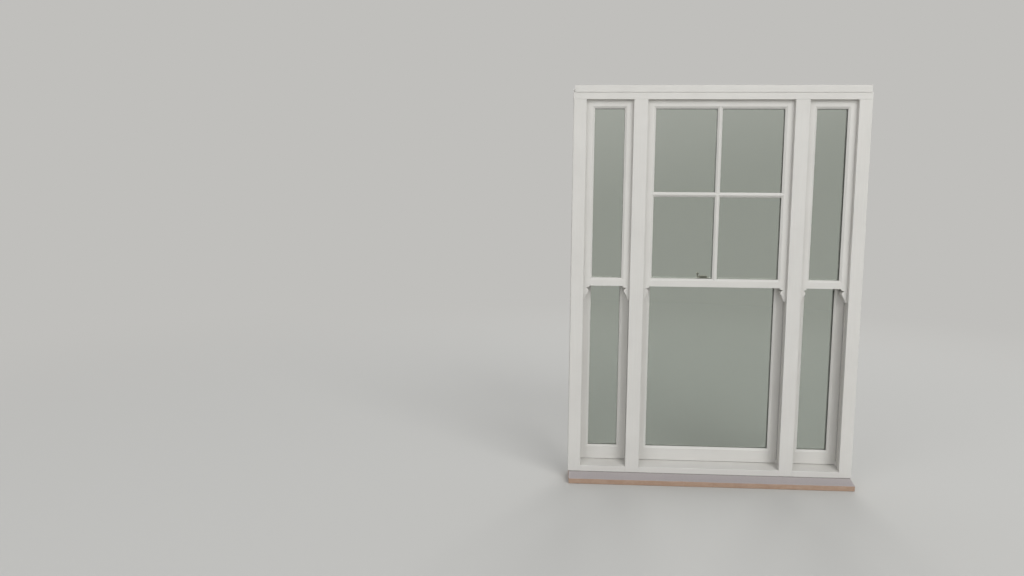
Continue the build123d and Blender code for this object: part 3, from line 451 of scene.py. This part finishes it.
# Extruded PVC: bright white, smooth and fairly glossy, with faint lines along the tube.
die_line_scale = (700, 700, 3)   # to the metre: lines 1.4 mm apart and a third of a metre long
hand_marks = 30          # to the metre, one each 33 mm
white_pvc = blank("extruded_white_pvc")
place = add(white_pvc, "TexCoord").outputs["Object"]
drawn = add(white_pvc, "Mapping", {"Vector": place, "Scale": die_line_scale})
die_lines = add(white_pvc, "TexNoise", {"Vector": drawn.outputs[0], "Scale": 1.0, "Detail": 2})
lined = add(white_pvc, "Bump", {"Height": die_lines.outputs["Fac"], "Strength": 0.08, "Distance": 0.0003})
handled = add(white_pvc, "TexNoise", {"Vector": place, "Scale": hand_marks, "Detail": 4})
grubby = add(white_pvc, "MapRange", {"Value": handled.outputs["Fac"], "From Min": 0.45, "From Max": 0.8})
pvc_colour = add(white_pvc, "MixRGB", {"Fac": grubby.outputs[0], "Color1": shade("#e2e1dc"),
                                       "Color2": shade("#d3d0c7")})
pvc_surface = add(white_pvc, "BsdfPrincipled", {"Base Color": pvc_colour.outputs[0], "Roughness": 0.3,
                                                "IOR": 1.53, "Normal": lined.outputs[0]})
add(white_pvc, "OutputMaterial", {"Surface": pvc_surface.outputs[0]})
dress("balance_tubes", white_pvc)

# Zinc-plated steel: grey, fairly bright, clouded by the plating.
plating_clouds = 220     # to the metre, one each 4.5 mm
zinc = blank("zinc_plated_steel")
place = add(zinc, "TexCoord").outputs["Object"]
plating = add(zinc, "TexNoise", {"Vector": place, "Scale": plating_clouds, "Detail": 3})
zinc_rough = add(zinc, "MapRange", {"Value": plating.outputs["Fac"], "To Min": 0.25, "To Max": 0.5})
zinc_colour = add(zinc, "MixRGB", {"Fac": plating.outputs["Fac"], "Color1": shade("#a9abad"),
                                   "Color2": shade("#c5c6c4")})
zinc_surface = add(zinc, "BsdfPrincipled", {"Base Color": zinc_colour.outputs[0], "Metallic": 1.0,
                                            "Roughness": zinc_rough.outputs[0]})
add(zinc, "OutputMaterial", {"Surface": zinc_surface.outputs[0]})

# Moulded nylon: a pale grey, a little waxy, with soft mould marks.
mould_marks = 260        # to the metre, one each 4 mm
nylon = blank("moulded_grey_nylon")
place = add(nylon, "TexCoord").outputs["Object"]
mould = add(nylon, "TexNoise", {"Vector": place, "Scale": mould_marks, "Detail": 2})
waxy = add(nylon, "MapRange", {"Value": mould.outputs["Fac"], "To Min": 0.4, "To Max": 0.55})
nylon_colour = add(nylon, "MixRGB", {"Fac": mould.outputs["Fac"], "Color1": shade("#b6b6b3"),
                                     "Color2": shade("#c6c6c2")})
nylon_surface = add(nylon, "BsdfPrincipled", {"Base Color": nylon_colour.outputs[0],
                                              "Roughness": waxy.outputs[0], "IOR": 1.53,
                                              "Subsurface Weight": 0.05})
add(nylon, "OutputMaterial", {"Surface": nylon_surface.outputs[0]})


def upright_on(centre, axis):
    """The place of a turned piece that stands at a point, along an axis."""
    return Matrix.Translation(centre) @ Vector(axis).to_track_quat("Z", "Y").to_matrix().to_4x4()


def round_ring(mesh, place, radius, height):
    """Add a round ring of vertices to a mesh, at a height of a turned piece."""
    ring = []
    for k in range(turned):
        angle = 2 * math.pi * k / turned
        point = Vector((radius * math.cos(angle), radius * math.sin(angle), height))
        ring.append(mesh.verts.new(place @ point))
    return ring


def turn_profile(mesh, centre, axis, profile, bored=False):
    """Turn a row of radii and heights about an axis, and close its ends or join them round a bore."""
    place = upright_on(centre, axis)
    rings = [round_ring(mesh, place, radius, height) for radius, height in profile]
    if not bored:
        close_rings(mesh, rings)
        return
    for near, far in zip(rings, rings[1:] + rings[:1]):
        join_rings(mesh, near, far)


def cross_screw(mesh, centre, outward, radius, turn):
    """A raised countersunk screw head with a cross recess, its rim at centre and facing outward."""
    place = upright_on(centre, outward) @ Matrix.Rotation(turn, 4, "Z")
    # every size of a head is a share of its radius
    rings = [round_ring(mesh, place, radius * share, radius * rise)
             for share, rise in ((0.7, -0.3), (1.0, 0.0), (0.95, 0.08), (0.78, 0.17))]
    for near, far in zip(rings, rings[1:]):
        join_rings(mesh, near, far)
    mesh.faces.new(rings[0])
    half, reach = 0.13, 0.52
    mouth_rise, bottom_share, bottom_drop = 0.22, 0.6, 0.15
    corners = ((reach, -half), (reach, half), (half, half), (half, reach), (-half, reach), (-half, half),
               (-reach, half), (-reach, -half), (-half, -half), (-half, -reach), (half, -reach),
               (half, -half))
    mouth = [mesh.verts.new(place @ Vector((radius * x, radius * y, radius * mouth_rise)))
             for x, y in corners]
    bottom = [mesh.verts.new(place @ Vector((radius * x * bottom_share, radius * y * bottom_share,
                                             -radius * bottom_drop)))
              for x, y in corners]
    join_rings(mesh, mouth, bottom)
    mesh.faces.new(bottom)
    edges = [mesh.edges.get((ring[k - 1], ring[k]))
             for ring in (rings[-1], mouth) for k in range(len(ring))]
    bmesh.ops.triangle_fill(mesh, use_beauty=True, edges=edges)


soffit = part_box("head")[0].z
caps, cap_screws = bmesh.new(), bmesh.new()
for light in lights:
    for row in rows:
        low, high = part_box(f"{light}_{row}_balance_rods")
        y = (low.y + high.y) / 2
        foot = low.z + foot_thickness
        if row == "upper":
            tube_low, tube_top = foot + foot_gap, high.z + tube_end_gap
        else:
            tube_low, tube_top = high.z - rod_engagement, soffit - lower_tube_gap
        rods, screws = bmesh.new(), bmesh.new()
        for side, edge in ((-1, low.x), (1, high.x)):
            x = edge - side * rod_width / 2
            wall = x - side * wall_to_rod
            rings = []
            for step in range(int((high.z - foot) / rod_step) + 1):
                angle = 2 * math.pi * step * rod_step / rod_twist
                along = Vector((math.cos(angle), math.sin(angle), 0)) * rod_width / 2
                across = Vector((-math.sin(angle), math.cos(angle), 0)) * rod_thickness / 2
                middle = Vector((x, y, foot + step * rod_step))
                rings.append([rods.verts.new(middle + a * along + b * across)
                              for a, b in ((1, 1), (-1, 1), (-1, -1), (1, -1))])
            close_rings(rods, rings)
            turn_profile(rods, (x, y, foot), (0, 0, 1), boss_profile)
            face = wall + side * foot_thickness
            plate_low, plate_high = sorted((wall, face))
            plate_top = low.z + foot_height
            add_block(rods, (plate_low, low.y, low.z), (plate_high, high.y, plate_top), foot_arris, 2)
            ledge_low, ledge_high = sorted((wall + side * ledge_let_in, edge))
            add_block(rods, (ledge_low, low.y, low.z), (ledge_high, high.y, foot), ledge_arris, 2)
            for rise in foot_screw_rises:
                cross_screw(screws, (face, y, low.z + rise), (side, 0, 0), foot_screw_radius, turn=rise * 90)
            for end, way in ((tube_low, 1), (tube_top, -1)):
                turn_profile(caps, (x, y, end - way * cap_face), (0, 0, way), cap_profile, bored=True)
            spot = (x - side * cap_radius, y, tube_top - tube_screw_drop)
            cross_screw(cap_screws, spot, (-side, 0, 0), tube_screw_radius, turn=tube_top * 7 + side)
        spiral = make_piece(f"{light}_{row}_spiral_rods", rods, zinc, f"{light}_{row}_sash")
        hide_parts(f"{light}_{row}_balance_rods")
        make_piece(f"{light}_{row}_foot_screws", screws, zinc, f"{light}_{row}_sash")
make_piece("balance_end_caps", caps, nylon, "frame")
make_piece("balance_screws", cap_screws, zinc, "frame")

# Brush pile: tufts of fine polypropylene on a woven backing, stuck along the faces of the beads that
# the sashes slide past. The tufts stop just short of the sashes and keep the draught out.
pile_width = 0.005
pile_inset = 0.0001      # how far the strip is drawn inside its solid on each side
backing = 0.0003
tuft_spacing = 0.002     # real tufts are 0.8 mm apart, drawn further apart so that they show
tuft_half = 0.0008       # half the thickness of a tuft
tip_inset = 0.0004       # how much a tuft narrows on each side towards its tip
tuft_lean = 0.0004       # how far the tips lean up or down
tuft_ragged = 0.00025    # the tips stop up to twice this short of the longest
track_gap = 0.002        # from a stile to the wall of its track
parting_pile_in = 0.010  # from the wall of the track to the pile on a parting bead
staff_pile_in = 0.014    # the same on a staff bead
backing_faces = ((0, 1, 3, 2), (4, 6, 7, 5), (1, 5, 7, 3), (0, 4, 5, 1), (2, 3, 7, 6))
tuft_faces = ((0, 4, 5, 2), (1, 3, 5, 4), (0, 1, 4), (2, 5, 3))

# Polypropylene fibre: pale grey, dull, streaked lighter and darker along the fibres, with the faint shine of
# plastic bristle.
fibre_scale = (900, 60, 500)     # to the metre: real fibres are 0.1 mm, drawn coarser so that they show
pile_fibre = blank("polypropylene_brush_pile")
place = add(pile_fibre, "TexCoord").outputs["Object"]
tufted = add(pile_fibre, "Mapping", {"Vector": place, "Scale": fibre_scale})
fibres = add(pile_fibre, "TexNoise", {"Vector": tufted.outputs[0], "Scale": 1.0, "Detail": 3})
pile_colour = add(pile_fibre, "MixRGB", {"Fac": fibres.outputs["Fac"], "Color1": shade("#898885"),
                                         "Color2": shade("#cccbc7")})
ribbed = add(pile_fibre, "Bump", {"Height": fibres.outputs["Fac"], "Strength": 0.8, "Distance": 0.0006})
pile_surface = add(pile_fibre, "BsdfPrincipled", {"Base Color": pile_colour.outputs[0], "Roughness": 0.75,
                                                  "Sheen Weight": 0.3, "Normal": ribbed.outputs[0]})
add(pile_fibre, "OutputMaterial", {"Surface": pile_surface.outputs[0]})
low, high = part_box("pile_seals")
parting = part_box("parting_beads")
staff_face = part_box("staff_beads")[0].y
reach = parting[0].y - low.y
count = int((high.z - low.z) / tuft_spacing)
strips = []
for light in lights:
    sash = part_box(light + "_lower_stiles")
    for side, wall in ((-1, sash[0].x - track_gap), (1, sash[1].x + track_gap)):
        strips.append((wall - side * parting_pile_in, side, parting[0].y, -1))
        strips.append((wall - side * parting_pile_in, side, parting[1].y, 1))
        strips.append((wall - side * staff_pile_in, side, staff_face, -1))
points, faces = [], []
for start, side, base, way in strips:
    x0, x1 = start + side * pile_inset, start + side * (pile_width - pile_inset)
    y0, y1, y2 = base, base + way * backing, base + way * reach
    first = len(points)
    points += [(x, y, z) for z in (low.z, high.z) for x in (x0, x1) for y in (y0, y1)]
    faces += [tuple(first + k for k in face) for face in backing_faces]
    for tuft in range(count):
        z = low.z + (tuft + 0.5) * tuft_spacing
        lean = tuft_lean * math.sin(tuft * 2.4 + start * 900)
        tip = y2 - way * tuft_ragged * (1 + math.sin(tuft * 5.1 + base * 700))
        first = len(points)
        points += [(x, y1, z + part) for x in (x0, x1) for part in (-tuft_half, tuft_half)]
        points += [(x0 + side * tip_inset, tip, z + lean), (x1 - side * tip_inset, tip, z + lean)]
        faces += [tuple(first + k for k in face) for face in tuft_faces]
brush = bpy.data.meshes.new("brush_pile")
brush.from_pydata(points, [], faces)
brush.materials.append(pile_fibre)
brush = bpy.data.objects.new("brush_pile", brush)
bpy.context.scene.collection.objects.link(brush)
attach(brush, "frame")
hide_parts("pile_seals")

# Sash fastener, keeper and lifts: brass castings, smoothed on a belt, plated with nickel and lacquered
# satin. Each is held to its rail by plated screws with raised heads and cross recesses.
casting_arris = 0.0004
plate_thickness = 0.003
fitting_screw_radius = 0.0034
lift_middle = 0.022      # from the end of a lift to the middle of its plate
lift_screw_apart = 0.013  # from the middle of a lift to each of its two screws
lift_screw_rise = 0.011  # from half the height of the lifts up to their screws

# Satin nickel: a soft warm grey metal with the fine lines of the belt.
nickel_grey = "#d3ccc1"
belt_line_scale = (60, 1500, 1500)    # to the metre: real lines are 0.1 mm apart, drawn coarser
nickel = blank("satin_nickel_plate")
place = add(nickel, "TexCoord").outputs["Object"]
linished = add(nickel, "Mapping", {"Vector": place, "Scale": belt_line_scale})
belt_lines = add(nickel, "TexNoise", {"Vector": linished.outputs[0], "Scale": 1.0, "Detail": 2})
nickel_rough = add(nickel, "MapRange", {"Value": belt_lines.outputs["Fac"], "To Min": 0.22, "To Max": 0.42})
brushed = add(nickel, "Bump", {"Height": belt_lines.outputs["Fac"], "Strength": 0.1, "Distance": 0.0002})
nickel_surface = add(nickel, "BsdfPrincipled", {"Base Color": shade(nickel_grey), "Metallic": 1.0,
                                                "Roughness": nickel_rough.outputs[0],
                                                "Normal": brushed.outputs[0]})
add(nickel, "OutputMaterial", {"Surface": nickel_surface.outputs[0]})
for node in ("centre_lower_fastener_base", "fastener_lever", "centre_upper_keeper", "centre_lower_lifts"):
    dress(node, nickel, casting_arris)

# The base and the keeper have two screws each, so far from their middle, and turned as they came to rest.
rail_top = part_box("centre_lower_meeting_rail")[1].z
for name, node, body, apart, turn in (
    ("fastener_base_screws", "centre_lower_fastener_base", "centre_lower_sash", 0.018, 0.5),
    ("keeper_screws", "centre_upper_keeper", "centre_upper_sash", 0.024, 1.1),
):
    low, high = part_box(node)
    screws = bmesh.new()
    for side in (-1, 1):
        spot = ((low.x + high.x) / 2 + side * apart, (low.y + high.y) / 2, rail_top + plate_thickness)
        cross_screw(screws, spot, (0, 0, 1), fitting_screw_radius, turn=turn + side)
    make_piece(name, screws, nickel, body)
low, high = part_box("centre_lower_lifts")
lift_screws = bmesh.new()
for side, edge in ((-1, low.x), (1, high.x)):
    middle = edge - side * lift_middle
    for step in (-1, 1):
        spot = (middle + step * lift_screw_apart, low.y + plate_thickness,
                (low.z + high.z) / 2 + lift_screw_rise)
        cross_screw(lift_screws, spot, (0, 1, 0), fitting_screw_radius, turn=step * 0.7 + side)
make_piece("lift_screws", lift_screws, nickel, "centre_lower_sash")

# Studio: a pale matt floor, which far off turns into an even pale ground, so that no edge of it shows
# behind the window.
ground_pale = "#c0bfbc"
floor_pale = "#c3c2be"
fade_start, fade_end = 2.5, 8.0    # metres from the window over which the floor turns into the ground
floor_radius = 60
studio_floor = blank("matt_studio_floor")
where = add(studio_floor, "NewGeometry").outputs["Position"]
distance = add(studio_floor, "VectorMath", {0: where}, operation="LENGTH")
far_off = add(studio_floor, "MapRange", {"Value": distance.outputs["Value"], "From Min": fade_start,
                                         "From Max": fade_end}, interpolation_type="SMOOTHSTEP")
seen = add(studio_floor, "LightPath")
by_eye = add(studio_floor, "Math", {0: seen.outputs["Is Camera Ray"], 1: seen.outputs["Is Glossy Ray"]},
             operation="MAXIMUM")
by_any = add(studio_floor, "Math", {0: by_eye.outputs[0], 1: seen.outputs["Is Transmission Ray"]},
             operation="MAXIMUM")
fade = add(studio_floor, "Math", {0: by_any.outputs[0], 1: far_off.outputs[0]}, operation="MULTIPLY")
matt = add(studio_floor, "BsdfPrincipled", {"Base Color": shade(floor_pale), "Roughness": 0.9})
even = add(studio_floor, "Emission", {"Color": shade(ground_pale), "Strength": 1.0})
blended = add(studio_floor, "MixShader", {0: fade.outputs[0], 1: matt.outputs[0], 2: even.outputs[0]})
add(studio_floor, "OutputMaterial", {"Surface": blended.outputs[0]})
bpy.ops.mesh.primitive_circle_add(vertices=96, radius=floor_radius, fill_type="NGON", location=(0, 0, 0))
floor = bpy.context.object
floor.name = "studio_floor"
floor.data.materials.append(studio_floor)

# Light of the room: even and cool on what is matt. Low over the horizon it is brighter, in gloss alone,
# in a band that leans a little, so that glass and metal have something to mirror.
band_lean = (-0.18, 0, 1)
band_bright, band_dark = 4.2, 0.38    # times the ground's brightness, in the band and overhead
world = bpy.data.worlds.new("studio_light")
bpy.context.scene.world = world
world.use_nodes = True
world.node_tree.nodes.clear()
seen = add(world, "LightPath")
direct = add(world, "Math", {0: seen.outputs["Is Camera Ray"], 1: seen.outputs["Is Transmission Ray"]},
             operation="MAXIMUM")
lighting = add(world, "Background", {"Color": shade("#f4f6fa"), "Strength": 0.52})
ground = add(world, "Background", {"Color": shade(ground_pale), "Strength": 1.0})
slanted = add(world, "VectorMath", {0: add(world, "TexCoord").outputs["Generated"], 1: band_lean},
              operation="DOT_PRODUCT")
rising = add(world, "MapRange", {"Value": slanted.outputs["Value"], "From Min": -0.03, "From Max": 0.15,
                                 "To Min": 1.0, "To Max": band_bright}, interpolation_type="SMOOTHSTEP")
falling = add(world, "MapRange", {"Value": slanted.outputs["Value"], "From Min": 0.2, "From Max": 0.6,
                                  "To Min": 1.0, "To Max": band_dark}, interpolation_type="SMOOTHSTEP")
glow = add(world, "Math", {0: rising.outputs[0], 1: falling.outputs[0]}, operation="MULTIPLY")
mirrored = add(world, "Background", {"Color": shade(ground_pale), "Strength": glow.outputs[0]})
indirect = add(world, "MixShader", {0: seen.outputs["Is Glossy Ray"], 1: lighting.outputs[0],
                                    2: mirrored.outputs[0]})
chosen = add(world, "MixShader", {0: direct.outputs[0], 1: indirect.outputs[0], 2: ground.outputs[0]})
add(world, "OutputWorld", {"Surface": chosen.outputs[0]})

# Three square lamps, with their side in metres and their power in watts, look at the window's middle.
# They have no mirror image: on pale satin tops it would be plain white, and in glass it would break up.
window_middle = Vector((0, 0, 1.0))
for name, place, size, power in (
    ("key", (7.0, -13.0, 11.0), 10.0, 1640),
    ("fill", (-10.0, -12.0, 8.0), 9.0, 460),
    ("rear", (4.0, 17.0, 8.0), 9.0, 1500),
):
    lamp = bpy.data.lights.new(name + "_lamp", "AREA")
    lamp.size = size
    lamp.energy = power
    holder = bpy.data.objects.new(name + "_lamp", lamp)
    bpy.context.scene.collection.objects.link(holder)
    holder.location = place
    holder.rotation_euler = (window_middle - Vector(place)).to_track_quat("-Z", "Y").to_euler()
    holder.visible_camera = holder.visible_transmission = holder.visible_glossy = False

# The camera stands to the left of the window, a little above the meeting rails. It was fitted to the
# frame's edges, so that they fall where the photograph has them.
camera_data = bpy.data.cameras.new("camera")
camera_data.sensor_width = 36
camera_data.lens = 26.37
camera = bpy.data.objects.new("camera", camera_data)
bpy.context.scene.collection.objects.link(camera)
camera.location = (-0.8485, -4.021, 1.4715)
camera.rotation_euler = [math.radians(a) for a in (83.92, -0.507, 3.244)]
bpy.context.scene.camera = camera
bpy.context.scene.view_settings.view_transform = "Standard"

bpy.context.view_layer.update()
